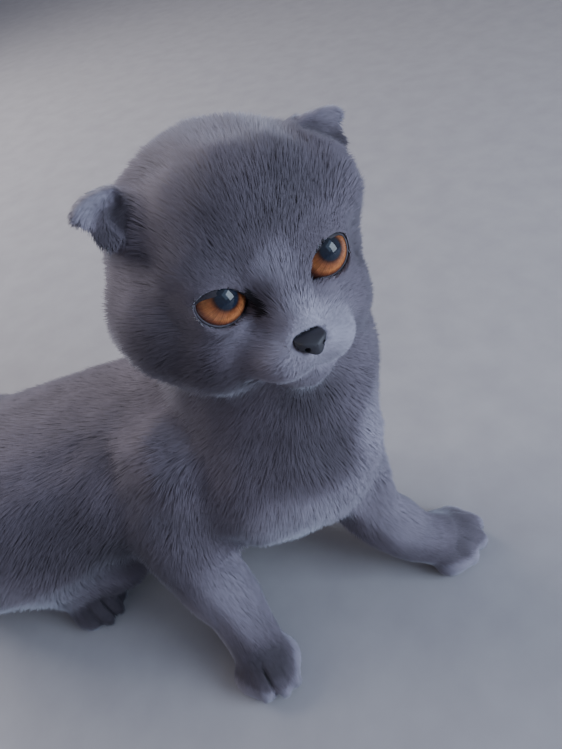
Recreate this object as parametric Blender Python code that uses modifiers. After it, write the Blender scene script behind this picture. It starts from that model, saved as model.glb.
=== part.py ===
"""A young blue-grey fold-eared cat, life size: it sits back on its hips with both forelegs braced apart.

Metres, +Z up. The chest looks along -Y, the cat's left is +X, and the trunk bends round so that the hips lie
towards -X. Rounded forms are gathered into one skin, and thin cuts part that skin into named pieces.
Every form reaches out to the tips of the short, dense coat.
"""

import math

import bmesh
import bpy
from mathutils import Euler, Matrix, Vector

# Driving sizes
CHEEK_HALF = 0.052  # half the head's width over the cheeks, with the coat
EYEBALL = 0.0105  # radius
FOREPAW_HALF = 0.0150  # half a paw's width
HINDPAW_HALF = 0.0152
GAP = 0.0003  # kept between two pieces that meet
GRAIN = 0.0013  # of the gathered skin
SKIN_TRIANGLES = 8000  # of the gathered skin, before it is parted

# Places in the cat's own frame
HEAD_CENTRE = Vector((0.0107, 0.0296, 0.1590))
HEAD_TILT = (-12, 0, -11.7)  # degrees: the face lifted, and turned to the cat's right
CHEST = Vector((-0.008, 0.014, 0.070))

for old in list(bpy.data.objects):
    bpy.data.objects.remove(old)
cat = bpy.data.collections.new("fold_cat")
helpers = bpy.data.collections.new("cutters")
bpy.context.scene.collection.children.link(cat)
bpy.context.scene.collection.children.link(helpers)


def finish(name, colour, roughness):
    """A plain surface for one kind of piece."""
    material = bpy.data.materials.new(name)
    material.use_nodes = True
    shader = material.node_tree.nodes["Principled BSDF"]
    shader.inputs["Base Color"].default_value = (*colour, 1)
    shader.inputs["Roughness"].default_value = roughness
    return material


def turned(angles):
    return Euler([math.radians(a) for a in angles]).to_matrix().to_4x4()


WORLD = Matrix.Identity(4)
HEAD = Matrix.Translation(HEAD_CENTRE) @ turned(HEAD_TILT)


def keep(obj, collection, material=None):
    collection.objects.link(obj)
    if collection is helpers:
        obj.hide_render = True
        obj.display_type = "WIRE"
    if material:
        obj.data.materials.clear()
        obj.data.materials.append(material)
    return obj


def from_bmesh(name, form):
    mesh = bpy.data.meshes.new(name)
    form.to_mesh(mesh)
    form.free()
    return keep(bpy.data.objects.new(name, mesh), helpers)


def ellipsoid(name, centre, radii, turn=(0, 0, 0), frame=WORLD, segments=40):
    """A rounded mass: half sizes along its own axes, which are turned by XYZ angles in degrees."""
    form = bmesh.new()
    bmesh.ops.create_uvsphere(form, u_segments=segments, v_segments=segments // 2, radius=1)
    place = frame @ Matrix.Translation(centre) @ turned(turn) @ Matrix.Diagonal((*radii, 1))
    bmesh.ops.transform(form, matrix=place, verts=form.verts)
    return from_bmesh(name, form)


def block(name, centre, sizes, turn=(0, 0, 0), frame=WORLD):
    form = bmesh.new()
    bmesh.ops.create_cube(form, size=1)
    place = frame @ Matrix.Translation(centre) @ turned(turn) @ Matrix.Diagonal((*sizes, 1))
    bmesh.ops.transform(form, matrix=place, verts=form.verts)
    return from_bmesh(name, form)


def hull(name, points, frame=WORLD):
    """The tightest closed shape with flat faces round some points."""
    form = bmesh.new()
    for point in points:
        form.verts.new(frame @ Vector(point))
    bmesh.ops.convex_hull(form, input=form.verts)
    bmesh.ops.recalc_face_normals(form, faces=form.faces)
    return from_bmesh(name, form)


def between(stations, t):
    """The row at t, from 0 to 1, along a smooth line through rows of numbers."""
    spans = len(stations) - 1
    span = min(int(t * spans), spans - 1)
    f = t * spans - span
    a, b = stations[span], stations[span + 1]
    before = stations[span - 1] if span else [2 * p - q for p, q in zip(a, b)]
    after = stations[span + 2] if span + 2 <= spans else [2 * q - p for p, q in zip(a, b)]
    return [
        0.5 * (2 * p + (q - o) * f + (2 * o - 5 * p + 4 * q - r) * f**2 + (3 * p - o - 3 * q + r) * f**3)
        for o, p, q, r in zip(before, a, b, after)
    ]


def lofted(name, stations, frame=WORLD, sides=28, steps=7):
    """A limb, trunk or tail: rings through stations of x, y, z, half width and half height, with domed ends."""
    count = (len(stations) - 1) * steps + 1
    rows = [between(stations, i / (count - 1)) for i in range(count)]
    places = [Vector(row[:3]) for row in rows]
    form = bmesh.new()
    rings = []
    side = None
    for i, row in enumerate(rows):
        ahead = (places[min(i + 1, count - 1)] - places[max(i - 1, 0)]).normalized()
        if side is None:
            side = ahead.cross(Vector((0, 0, 1)))
            side = side if side.length > 0.2 else ahead.cross(Vector((0, 1, 0)))
        side = (side - ahead * side.dot(ahead)).normalized()
        up = side.cross(ahead)
        ring = []
        for k in range(sides):
            a = 2 * math.pi * k / sides
            spot = places[i] + side * row[3] * math.cos(a) + up * row[4] * math.sin(a)
            ring.append(form.verts.new(frame @ spot))
        rings.append(ring)
    for one, two in zip(rings, rings[1:]):
        for k in range(sides):
            form.faces.new((one[k], one[(k + 1) % sides], two[(k + 1) % sides], two[k]))
    for ring, end, inner, row in ((rings[0], 0, 1, rows[0]), (rings[-1], -1, -2, rows[-1])):
        outward = (places[end] - places[inner]).normalized()
        tip = form.verts.new(frame @ (places[end] + outward * 0.35 * min(row[3], row[4])))
        for k in range(sides):
            form.faces.new((ring[k], ring[(k + 1) % sides], tip))
    bmesh.ops.recalc_face_normals(form, faces=form.faces)
    return from_bmesh(name, form)


def discard(*objects):
    for obj in objects:
        bpy.data.objects.remove(obj)


def applied(obj):
    """The object with its modifiers made real."""
    bpy.context.view_layer.update()
    graph = bpy.context.evaluated_depsgraph_get()
    mesh = bpy.data.meshes.new_from_object(obj.evaluated_get(graph), depsgraph=graph)
    name = obj.name
    discard(obj)
    return keep(bpy.data.objects.new(name, mesh), helpers)


def copy_of(obj, name):
    return keep(bpy.data.objects.new(name, obj.data.copy()), helpers)


def largest_surface(obj):
    """Keeps the largest closed surface, so that a loose scrap or a sealed hollow goes."""
    form = bmesh.new()
    form.from_mesh(obj.data)
    left = set(form.verts)
    best = set()
    while left:
        shell = [left.pop()]
        for vert in shell:
            for edge in vert.link_edges:
                other = edge.other_vert(vert)
                if other in left:
                    left.remove(other)
                    shell.append(other)
        if len(shell) > len(best):
            best = set(shell)
    bmesh.ops.delete(form, geom=[v for v in form.verts if v not in best], context="VERTS")
    form.to_mesh(obj.data)
    form.free()
    return obj


def combined(base, other, operation, spent=True):
    """The base joined with, cut by or kept inside the other. The base is used up, and the other if spent."""
    boolean = base.modifiers.new("combine", "BOOLEAN")
    boolean.operation = operation
    boolean.object = other
    boolean.solver = "EXACT"
    made = largest_surface(applied(base))
    if spent:
        discard(other)
    return made


def gathered(name, forms, grain):
    """All the forms as one smooth closed skin."""
    joined = bmesh.new()
    for form in forms:
        joined.from_mesh(form.data)
    discard(*forms)
    skin = from_bmesh(name, joined)
    remesh = skin.modifiers.new("skin", "REMESH")
    remesh.mode = "VOXEL"
    remesh.voxel_size = grain
    return largest_surface(applied(skin))


def smoothed(obj, times, spare=None):
    """Rounds the surface off, less so where the spare function gives a weight near 1."""
    smooth = obj.modifiers.new("smooth", "SMOOTH")
    smooth.factor = 0.5
    smooth.iterations = times
    if spare:
        group = obj.vertex_groups.new(name="round")
        for vert in obj.data.vertices:
            group.add([vert.index], 1 - spare(vert.co), "REPLACE")
        smooth.vertex_group = "round"
    return applied(obj)


def thinned(obj, triangles, fine=None):
    """Fewer triangles, with more of them kept where the fine function gives a weight near 1."""
    total = sum(len(face.vertices) - 2 for face in obj.data.polygons)
    if fine:
        group = obj.vertex_groups.new(name="coarse")
        for vert in obj.data.vertices:
            group.add([vert.index], 1 - fine(vert.co), "REPLACE")
    decimate = obj.modifiers.new("thin", "DECIMATE")
    decimate.ratio = triangles / total
    if fine:
        decimate.vertex_group = "coarse"
        decimate.vertex_group_factor = 1.0
    return applied(obj)


def piece(name, obj, material):
    """A finished piece, shaded smooth, in the cat's collection."""
    helpers.objects.unlink(obj)
    obj.name = name
    obj.hide_render = False
    obj.display_type = "TEXTURED"
    obj.data.shade_smooth()
    obj.data.set_sharp_from_angle(angle=math.radians(50))
    keep(obj, cat, material)


def parted(whole, name, region, material):
    """Takes the piece inside the region out of the whole, leaving a thin gap round it."""
    swollen = copy_of(region, "swollen")
    swell = swollen.modifiers.new("swell", "DISPLACE")
    swell.strength = GAP
    swell.mid_level = 0
    swollen = applied(swollen)
    inside = combined(copy_of(whole, "inside"), region, "INTERSECT")
    piece(name, inside, finish(name + "_surface", *material))
    return combined(whole, swollen, "DIFFERENCE")


COAT = ((0.112, 0.118, 0.150), 0.92)
LEATHER = ((0.030, 0.032, 0.042), 0.5)
IRIS = ((0.52, 0.16, 0.03), 0.08)


def head_forms():
    """The round skull, full cheeks, short muzzle and chin, in the head's frame: the face looks along -Y."""
    k = CHEEK_HALF / 0.052
    forms = [
        ellipsoid("cranium", (0.0004, 0.004 * k, 0.0062), (0.0494 * k, 0.0480 * k, 0.0470 * k), frame=HEAD),
        ellipsoid("forehead", (0, -0.015, 0.021), (0.036, 0.0275, 0.0285), frame=HEAD),
        ellipsoid("jaw", (0, -0.013, -0.021), (0.038, 0.033, 0.0215), frame=HEAD),
        ellipsoid("muzzle", (0, -0.0370, -0.0180), (0.0230, 0.0200, 0.0145), frame=HEAD),
        ellipsoid("chin", (0, -0.0415, -0.0300), (0.0115, 0.0120, 0.0090), frame=HEAD),
        lofted(
            "bridge",
            (
                (0, -0.031, 0.016, 0.0135, 0.0085),
                (0, -0.0405, 0.003, 0.0110, 0.0090),
                (0, -0.0480, -0.0100, 0.0090, 0.0095),
            ),
            frame=HEAD,
        ),
    ]
    # The right cheek is fuller and lower, and the left one sits higher
    forms += [
        ellipsoid("cheek_left", (0.0226 * k, -0.006, -0.005), (0.0256, 0.030, 0.0270), frame=HEAD),
        ellipsoid("temple_left", (0.0278 * k, -0.006, 0.017), (0.0252, 0.0315, 0.0245), frame=HEAD),
        ellipsoid("cheek_right", (-0.0287 * k, -0.003, -0.008), (0.0294, 0.033, 0.0290), frame=HEAD),
    ]
    for s, jowl in ((1, 0.0195), (-1, 0.0215)):
        forms += [
            ellipsoid("jowl", (s * jowl, -0.021, -0.019), (0.023, 0.0235, 0.0185), frame=HEAD),
            ellipsoid("pad", (s * 0.0090, -0.0465, -0.0190), (0.0125, 0.0115, 0.0100), frame=HEAD),
            ellipsoid("brow", (s * 0.0190, -0.0275, 0.0165), (0.0200, 0.0140, 0.0120), (0, s * 14, 0), frame=HEAD),
            ellipsoid("under_eye", (s * 0.0212, -0.0310, -0.0080), (0.0170, 0.0140, 0.0105), frame=HEAD),
            ellipsoid("ear_root", (s * 0.0330, -0.002, 0.0320), (0.0150, 0.0150, 0.0110), (0, s * 40, 0), frame=HEAD),
            ellipsoid("lids", eye_place(s), [EYEBALL + 0.0017] * 3, frame=HEAD),
        ]
    return forms


def eye_place(s):
    return Vector((s * 0.0202, -0.0318, 0.0038))


# Toes of each paw: place across, place behind the toe line, and half width
SPLAYED_RIGHT = (
    (-0.0134, 0.0066, 0.0044),
    (-0.0090, 0.0014, 0.0054),
    (-0.0008, -0.0016, 0.0050),
    (0.0062, -0.0008, 0.0050),
    (0.0112, 0.0056, 0.0044),
)
SPLAYED_LEFT = (
    (-0.0148, 0.0076, 0.0048),
    (-0.0102, 0.0022, 0.0056),
    (-0.0006, -0.0024, 0.0062),
    (0.0090, -0.0014, 0.0056),
    (0.0130, 0.0060, 0.0048),
)
CLOSED = (
    (-0.0108, 0.0040, 0.0044),
    (-0.0038, -0.0012, 0.0048),
    (0.0038, -0.0012, 0.0048),
    (0.0108, 0.0040, 0.0044),
)


def paw_forms(name, toe_line, heading, toes, half, length=0.038):
    """A paw. Toe line: the middle of the toes on the floor. Heading: degrees from -Y to +X."""
    frame = Matrix.Translation(toe_line) @ turned((0, 0, heading))
    k = half / 0.015
    high = 0.0094 * k
    radii = (0.0144 * k, length * 0.42, high + 0.0015)
    forms = [ellipsoid(name, (0, length * 0.35, high + 0.001), radii, frame=frame)]
    for x, y, wide in toes:
        radii = (wide * k, 0.0086 * k, 0.6 * wide * k + 0.0048)
        turn = (0, 0, x * -1100)
        forms.append(ellipsoid("toe", (x * k, y + 0.004, radii[2] - 0.0007), radii, turn, frame=frame))
    return forms


FORELEG_RIGHT = (
    (-0.042, 0.032, 0.096, 0.0220, 0.0260),
    (-0.057, 0.027, 0.068, 0.0230, 0.0260),
    (-0.0635, 0.011, 0.043, 0.0200, 0.0205),
    (-0.0625, -0.012, 0.027, 0.0155, 0.0158),
    (-0.0645, -0.032, 0.0155, 0.0136, 0.0124),
)
FORELEG_LEFT = (
    (0.018, 0.012, 0.086, 0.0200, 0.0240),
    (0.018, -0.008, 0.060, 0.0200, 0.0220),
    (0.014, -0.027, 0.038, 0.0165, 0.0170),
    (0.022, -0.044, 0.0225, 0.0142, 0.0142),
    (0.035, -0.056, 0.0145, 0.0133, 0.0122),
)
FOREPAW_RIGHT = (Vector((-0.0665, -0.0490, 0)), -6)
FOREPAW_LEFT = (Vector((0.0480, -0.0645, 0)), 42)
HINDPAW_RIGHT = (Vector((-0.1105, 0.0385, 0)), 12)
HINDPAW_LEFT = (Vector((-0.0640, 0.1180, 0)), 86)
HINDLEG_RIGHT = (
    (-0.134, 0.090, 0.066, 0.030, 0.040),
    (-0.112, 0.068, 0.052, 0.029, 0.040),
    (-0.094, 0.054, 0.034, 0.023, 0.028),
    (-0.108, 0.060, 0.022, 0.018, 0.0190),
    (-0.116, 0.064, 0.0125, 0.0135, 0.0135),
)
HINDLEG_LEFT = (
    (-0.114, 0.122, 0.066, 0.030, 0.040),
    (-0.092, 0.112, 0.050, 0.028, 0.038),
    (-0.072, 0.104, 0.034, 0.022, 0.026),
    (-0.080, 0.112, 0.022, 0.018, 0.0190),
    (-0.092, 0.119, 0.0125, 0.0135, 0.0135),
)
TAIL = (
    (-0.150, 0.110, 0.042, 0.0210, 0.0220),
    (-0.178, 0.125, 0.023, 0.0165, 0.0165),
    (-0.210, 0.140, 0.0138, 0.0142, 0.0142),
    (-0.241, 0.155, 0.0126, 0.0132, 0.0132),
    (-0.267, 0.176, 0.0114, 0.0120, 0.0120),
    (-0.284, 0.204, 0.0098, 0.0104, 0.0104),
    (-0.289, 0.231, 0.0074, 0.0080, 0.0080),
)


def body_forms():
    """Chest, bent trunk and rounded hips, with the neck that carries the head."""
    forms = [
        ellipsoid("chest", CHEST, (0.047, 0.044, 0.051), (8, 0, 0)),
        ellipsoid("breast", (0.001, -0.002, 0.076), (0.041, 0.034, 0.043)),
        ellipsoid("withers", (-0.016, 0.040, 0.088), (0.042, 0.040, 0.036)),
        lofted(
            "neck",
            (
                (0.000, 0.014, 0.086, 0.047, 0.042),
                (0.007, 0.020, 0.110, 0.0495, 0.042),
                (0.012, 0.030, 0.140, 0.0460, 0.042),
            ),
        ),
        lofted(
            "trunk",
            (
                (-0.008, 0.022, 0.072, 0.046, 0.044),
                (-0.038, 0.052, 0.068, 0.049, 0.046),
                (-0.072, 0.074, 0.062, 0.052, 0.048),
                (-0.108, 0.090, 0.056, 0.055, 0.050),
                (-0.140, 0.107, 0.048, 0.046, 0.043),
                (-0.160, 0.118, 0.040, 0.028, 0.028),
            ),
        ),
        ellipsoid("belly", (-0.062, 0.068, 0.036), (0.048, 0.040, 0.036), (0, 0, -28)),
        ellipsoid("seat", (-0.135, 0.104, 0.036), (0.038, 0.044, 0.036), (0, 0, -32)),
        ellipsoid("thigh_right", (-0.118, 0.068, 0.046), (0.042, 0.026, 0.044), (0, 0, -40)),
        ellipsoid("thigh_left", (-0.096, 0.112, 0.046), (0.042, 0.026, 0.044), (0, 0, -24)),
        ellipsoid("shoulder_right", (-0.050, 0.030, 0.078), (0.024, 0.029, 0.036), (20, 0, 0)),
        ellipsoid("shoulder_left", (0.024, 0.008, 0.078), (0.020, 0.026, 0.034), (24, 0, 0)),
    ]
    forms += [
        lofted("foreleg_right", FORELEG_RIGHT),
        lofted("foreleg_left", FORELEG_LEFT),
        lofted("hindleg_right", HINDLEG_RIGHT),
        lofted("hindleg_left", HINDLEG_LEFT),
        lofted("tail", TAIL),
    ]
    forms += paw_forms("forepaw_right", *FOREPAW_RIGHT, SPLAYED_RIGHT, FOREPAW_HALF)
    forms += paw_forms("forepaw_left", *FOREPAW_LEFT, SPLAYED_LEFT, FOREPAW_HALF)
    forms += paw_forms("hindpaw_right", *HINDPAW_RIGHT, CLOSED, HINDPAW_HALF)
    forms += paw_forms("hindpaw_left", *HINDPAW_LEFT, CLOSED, HINDPAW_HALF)
    return forms


def sharpness(place):
    """Near 1 at the muzzle and the toes, which keep their shape when the skin is rounded off."""
    here = HEAD.inverted() @ place
    muzzle = 0.6 * max(0.0, 1 - (here - Vector((0, -0.056, -0.020))).length / 0.017)
    nearest = min((place - paw[0]).length for paw in (FOREPAW_RIGHT, FOREPAW_LEFT, HINDPAW_RIGHT, HINDPAW_LEFT))
    return min(0.95, max(muzzle, 1.7 * (1 - nearest / 0.030), 0.0))


def fineness(place):
    """Near 1 on the face and the paws, which keep more triangles."""
    here = HEAD.inverted() @ place
    face = max(0.0, 1 - (here - Vector((0, -0.042, -0.004))).length / 0.055)
    nearest = min((place - paw[0]).length for paw in (FOREPAW_RIGHT, FOREPAW_LEFT, HINDPAW_RIGHT, HINDPAW_LEFT))
    tail = 0.55 if place.x < -0.172 else 0.0
    return min(1.0, max(1.6 * face, 1.4 - nearest / 0.024, tail, 0.12))


def eye_opening(s):
    """The almond between the lids: higher at its outer corner, with a short tear corner towards the nose."""
    across, rise, drop = 0.0093, 0.0058, 0.0069
    frame = HEAD @ Matrix.Translation(eye_place(s)) @ turned((0, 0, s * 6)) @ turned((0, -s * 19, 0))
    form = bmesh.new()
    front, back = [], []
    steps = 30
    for i in range(steps):
        a = 2 * math.pi * i / steps
        u, v = math.cos(a), math.sin(a)
        high = (rise if v > 0 else drop) * math.copysign(abs(v) ** 1.1, v)
        wide = across * (u if u < 0 else 0.92 * u)
        if u < -0.7:
            wide -= 0.0022 * (-u - 0.7) / 0.3
            high -= 0.0016 * (-u - 0.7) / 0.3
        for ring, y, flare in ((front, -0.030, 1.15), (back, -0.0040, 1.0)):
            ring.append(form.verts.new(frame @ Vector((s * wide * flare, y, high * flare))))
    for i in range(steps):
        j = (i + 1) % steps
        form.faces.new((front[i], front[j], back[j], back[i]))
    form.faces.new(front)
    form.faces.new(back)
    bmesh.ops.recalc_face_normals(form, faces=form.faces)
    return from_bmesh("eye_opening", form)


def mouth_cutters():
    """A thin groove below the nose and along each lip."""
    middle = lofted(
        "groove",
        (
            (0, -0.0600, -0.0135, 0.0007, 0.0026),
            (0, -0.0575, -0.0190, 0.0007, 0.0024),
            (0, -0.0540, -0.0245, 0.0008, 0.0024),
        ),
        frame=HEAD,
        sides=10,
    )
    lips = [
        lofted(
            "lip",
            (
                (s * -0.0010, -0.0535, -0.0248, 0.0026, 0.0008),
                (s * 0.0070, -0.0530, -0.0278, 0.0026, 0.0009),
                (s * 0.0140, -0.0475, -0.0285, 0.0026, 0.0009),
                (s * 0.0200, -0.0395, -0.0265, 0.0024, 0.0008),
            ),
            frame=HEAD,
            sides=10,
        )
        for s in (1, -1)
    ]
    return [middle, *lips]


def nose_leather():
    """The small triangular nose, wide at the top, with two comma-shaped nostrils."""
    nose = hull(
        "nose",
        [
            (x, y, z)
            for x, y, z in (
                (0.0056, -0.0540, -0.0114), (-0.0056, -0.0540, -0.0114),
                (0.0046, -0.0584, -0.0116), (-0.0046, -0.0584, -0.0116),
                (0.0062, -0.0560, -0.0136), (-0.0062, -0.0560, -0.0136),
                (0.0012, -0.0603, -0.0172), (-0.0012, -0.0603, -0.0172),
                (0, -0.0607, -0.0130), (0, -0.0540, -0.0180), (0, -0.0560, -0.0106),
                (0.0036, -0.0480, -0.0122), (-0.0036, -0.0480, -0.0122), (0, -0.0480, -0.0150),
            )
        ],
        frame=HEAD,
    )
    nose = smoothed(gathered("nose", [nose], 0.0005), 5)
    nose = thinned(nose, 420)
    for s in (1, -1):
        place, radii, turn = (s * 0.0034, -0.0590, -0.0144), (0.0013, 0.0030, 0.0009), (0, s * 35, s * 20)
        nose = combined(nose, ellipsoid("nostril", place, radii, turn, frame=HEAD, segments=12), "DIFFERENCE")
    return nose


def ear(s, droop):
    """A small folded ear: a soft roll leans out from the skull, and a short flap hangs forward over the cup.

    Droop: how much lower the roll lies than on the cat's right.
    """
    flap = [
        (0.0265, -0.0110, 0.0350), (0.0320, -0.0100, 0.0280), (0.0300, 0.0040, 0.0340), (0.0400, 0.0060, 0.0240),
        (0.0415, -0.0060, 0.0225), (0.0448, -0.0214, 0.0290), (0.0486, -0.0192, 0.0322), (0.0490, -0.0130, 0.0390),
    ]
    crest = [(0.0280, -0.0100, 0.0415), (0.0340, -0.0060, 0.0452), (0.0485, -0.0080, 0.0430)]
    flap += [(x, y, z - droop) for x, y, z in crest]
    roll = [
        (0.0300, -0.0050, 0.0410, 0.0034), (0.0370, -0.0080, 0.0430, 0.0034), (0.0430, -0.0092, 0.0430, 0.0034),
        (0.0475, -0.0100, 0.0416, 0.0033), (0.0508, -0.0110, 0.0390, 0.0030),
    ]
    outer = hull("ear", [(s * x, y, z) for x, y, z in flap], frame=HEAD)
    stations = [(s * x, y, z - droop * min(1, (0.052 - x) / 0.010), r, r) for x, y, z, r in roll]
    fold = lofted("fold", stations, frame=HEAD, sides=16, steps=4)
    made = smoothed(gathered("ear", [outer, fold], 0.0007), 20)
    made = thinned(made, 620)
    place, radii, turn = (s * 0.0358, -0.0185, 0.0370), (0.0066, 0.0125, 0.0066), (20, 0, s * 22)
    return combined(made, ellipsoid("cup", place, radii, turn, frame=HEAD, segments=18), "DIFFERENCE")


# The gathered skin, flat where it rests on the floor
whole = smoothed(gathered("whole", head_forms() + body_forms(), GRAIN), 36, sharpness)
whole = thinned(smoothed(whole, 2), SKIN_TRIANGLES, fineness)
whole = combined(whole, block("floor", (-0.08, 0.08, -0.020), (0.6, 0.6, 0.040)), "DIFFERENCE")

# The eyes between their lids
for side, s in (("left", 1), ("right", -1)):
    orbit = ellipsoid("orbit", eye_place(s), [EYEBALL + GAP] * 3, frame=HEAD, segments=24)
    whole = combined(whole, combined(orbit, eye_opening(s), "UNION"), "DIFFERENCE")
    ball = ellipsoid("ball", eye_place(s), [EYEBALL] * 3, frame=HEAD, segments=24)
    piece("eye_" + side, ball, finish("eye_" + side + "_surface", *IRIS))

# The mouth line, and the nose in its seat
for cutter in mouth_cutters():
    whole = combined(whole, cutter, "DIFFERENCE")
nose = nose_leather()
seat = copy_of(nose, "seat")
swell = seat.modifiers.new("swell", "DISPLACE")
swell.strength = GAP
swell.mid_level = 0
seat = applied(seat)
whole = combined(whole, seat, "DIFFERENCE")
piece("nose", nose, finish("nose_surface", *LEATHER))

# The head, above a slanted cut through the throat
head_region = block("head_region", (0, 0, 0.0500), (0.160, 0.200, 0.180), (8, 0, 0), frame=HEAD)
whole = parted(whole, "head", head_region, COAT)

# The legs and the tail
PAW_REGIONS = (
    ("forepaw_right", FOREPAW_RIGHT, 0.0225),
    ("forepaw_left", FOREPAW_LEFT, 0.0225),
    ("hindpaw_right", HINDPAW_RIGHT, 0.0195),
    ("hindpaw_left", HINDPAW_LEFT, 0.0195),
)
for name, (toe_line, heading), reach in PAW_REGIONS:
    frame = Matrix.Translation(toe_line) @ turned((0, 0, heading))
    region = block("region", (0, reach - 0.030, 0.010), (0.044, 0.060, 0.060), (-20, 0, 0), frame=frame)
    whole = parted(whole, name, region, COAT)
for name, leg in (("foreleg_right", FORELEG_RIGHT), ("foreleg_left", FORELEG_LEFT)):
    region = lofted("region", [(x, y, z, a + 0.006, b + 0.006) for x, y, z, a, b in leg[1:]], sides=16, steps=3)
    whole = parted(whole, name, region, COAT)
for name, centre, turn in (
    ("hindleg_right", (-0.112, 0.058, 0.036), -40),
    ("hindleg_left", (-0.090, 0.118, 0.036), -24),
):
    region = ellipsoid("region", centre, (0.040, 0.026, 0.042), (0, 0, turn), segments=18)
    whole = parted(whole, name, region, COAT)
tail_cuts = ((-0.157, 0.114), (-0.228, 0.148), (-0.274, 0.187))
tail_turns = (-60, -62, -36)
for name, spot, turn in zip(("tail_tip", "tail_middle", "tail_base"), tail_cuts[::-1], tail_turns[::-1]):
    frame = Matrix.Translation((spot[0], spot[1], 0)) @ turned((0, 0, -turn))
    region = block("region", (0, 0.060, 0.030), (0.120, 0.120, 0.090), frame=frame)
    whole = parted(whole, name, region, COAT)

# The neck, the chest and the hips
neck_region = ellipsoid("neck_region", (0.003, 0.024, 0.128), (0.060, 0.056, 0.031), (12, 0, 0), segments=20)
whole = parted(whole, "neck", neck_region, COAT)
frame = Matrix.Translation((-0.062, 0.066, 0.05)) @ turned((0, 0, -32))
hips_region = block("hips_region", (-0.100, 0, 0.020), (0.200, 0.240, 0.200), frame=frame)
whole = parted(whole, "hips", hips_region, COAT)
piece("chest", whole, finish("chest_surface", *COAT))

# The folded ears, each seated on the skull
skull = copy_of(bpy.data.objects["head"], "skull")
swell = skull.modifiers.new("swell", "DISPLACE")
swell.strength = GAP
swell.mid_level = 0
skull = applied(skull)
for side, s, droop in (("left", 1, 0.0024), ("right", -1, 0)):
    flap = combined(ear(s, droop), skull, "DIFFERENCE", spent=False)
    piece("ear_" + side, flap, finish("ear_" + side + "_surface", *COAT))
discard(skull)

# The origin goes under the middle of the cat's box, at floor height
corners = [obj.matrix_world @ vert.co for obj in cat.objects for vert in obj.data.vertices]
low = Vector(min(corner[axis] for corner in corners) for axis in range(3))
high = Vector(max(corner[axis] for corner in corners) for axis in range(3))
middle = (low + high) / 2
for obj in cat.objects:
    obj.data.transform(Matrix.Translation((-middle.x, -middle.y, -low.z)))
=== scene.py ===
import math

import bpy
import numpy as np
from mathutils import Euler, Matrix, Vector


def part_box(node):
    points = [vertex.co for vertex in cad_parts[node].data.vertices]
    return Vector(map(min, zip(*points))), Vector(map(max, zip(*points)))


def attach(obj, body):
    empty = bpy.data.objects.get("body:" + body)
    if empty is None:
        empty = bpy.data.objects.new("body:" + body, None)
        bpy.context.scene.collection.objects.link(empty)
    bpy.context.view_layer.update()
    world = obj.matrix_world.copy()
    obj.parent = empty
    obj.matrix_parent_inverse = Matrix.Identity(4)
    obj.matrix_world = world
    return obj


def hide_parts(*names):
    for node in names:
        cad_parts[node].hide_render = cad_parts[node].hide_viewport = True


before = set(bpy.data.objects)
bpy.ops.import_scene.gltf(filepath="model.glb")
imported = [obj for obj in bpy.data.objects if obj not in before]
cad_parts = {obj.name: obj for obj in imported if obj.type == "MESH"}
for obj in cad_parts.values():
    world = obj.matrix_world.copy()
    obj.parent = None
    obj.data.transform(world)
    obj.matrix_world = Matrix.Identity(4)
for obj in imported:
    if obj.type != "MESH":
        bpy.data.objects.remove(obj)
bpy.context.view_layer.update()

# The skin: one hide over the whole cat, drawn in from the solids by the depth of its plush coat. The coat
# is shallowest on the muzzle, round the eyes, on the ears and on the toes. The hide carries the groove
# under the nose, the line of the lips and the clefts between the toes.
FLESH = (
    "head", "neck", "chest", "hips", "foreleg_left", "foreleg_right", "forepaw_left", "forepaw_right",
    "hindleg_left", "hindleg_right", "hindpaw_left", "hindpaw_right", "tail_base", "tail_middle", "tail_tip",
    "ear_left", "ear_right",
)
HEAD_PLACE = (0.0107, 0.0296, 0.1590)
HEAD_TURN = (-12, 0, -11.7)
EYE_IN_HEAD = Vector((0.0202, -0.0318, 0.0038))


def turned(x, y, z):
    """A turn about the three axes, in degrees."""
    return Euler((math.radians(x), math.radians(y), math.radians(z))).to_matrix().to_4x4()


# The whole cat may lie moved as one in model.glb, so its own axes are found again from where its left eye
# lies.
head_frame = Matrix.Translation(HEAD_PLACE) @ turned(*HEAD_TURN)
left_eye_box = np.array(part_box("eye_left"), dtype=float)
moved = Vector(left_eye_box.mean(axis=0)) - head_frame @ EYE_IN_HEAD
head_frame = Matrix.Translation(moved) @ head_frame


def on_body(x, y, z):
    """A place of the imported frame, given in millimetres in the cat's own axes."""
    return Vector((x, y, z)) / 1000 + moved


def on_head(x, y, z):
    """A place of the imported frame, given in millimetres from the middle of the head: left, back and up."""
    return head_frame @ (Vector((x, y, z)) / 1000)


def head_places(points):
    """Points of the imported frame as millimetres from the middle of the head."""
    back = np.array(head_frame.inverted())
    return (points @ back[:3, :3].T + back[:3, 3]) * 1000


def within(points, centre, full, none):
    """1 nearer to the centre than full millimetres, 0 further than none, and smooth between."""
    away = np.linalg.norm(points - np.array(centre), axis=1) * 1000
    t = np.clip((none - away) / (none - full), 0, 1)
    return t * t * (3 - 2 * t)


def off_line(points, line):
    """The distance of each point from a line of places, in the line's own unit."""
    nearest = np.full(len(points), 1e9)
    for a, b in zip(line, line[1:]):
        a, b = np.array(a, dtype=float), np.array(b, dtype=float)
        along = np.clip((points - a) @ (b - a) / ((b - a) @ (b - a)), 0, 1)
        nearest = np.minimum(nearest, np.linalg.norm(points - a - along[:, None] * (b - a), axis=1))
    return nearest


def read_mesh(mesh):
    """The points and the triangles of a mesh."""
    points = np.empty(len(mesh.vertices) * 3, np.float32)
    mesh.vertices.foreach_get("co", points)
    mesh.calc_loop_triangles()
    triangles = np.empty(len(mesh.loop_triangles) * 3, np.int32)
    mesh.loop_triangles.foreach_get("vertices", triangles)
    return points.reshape(-1, 3).astype(float), triangles.reshape(-1, 3)


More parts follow.
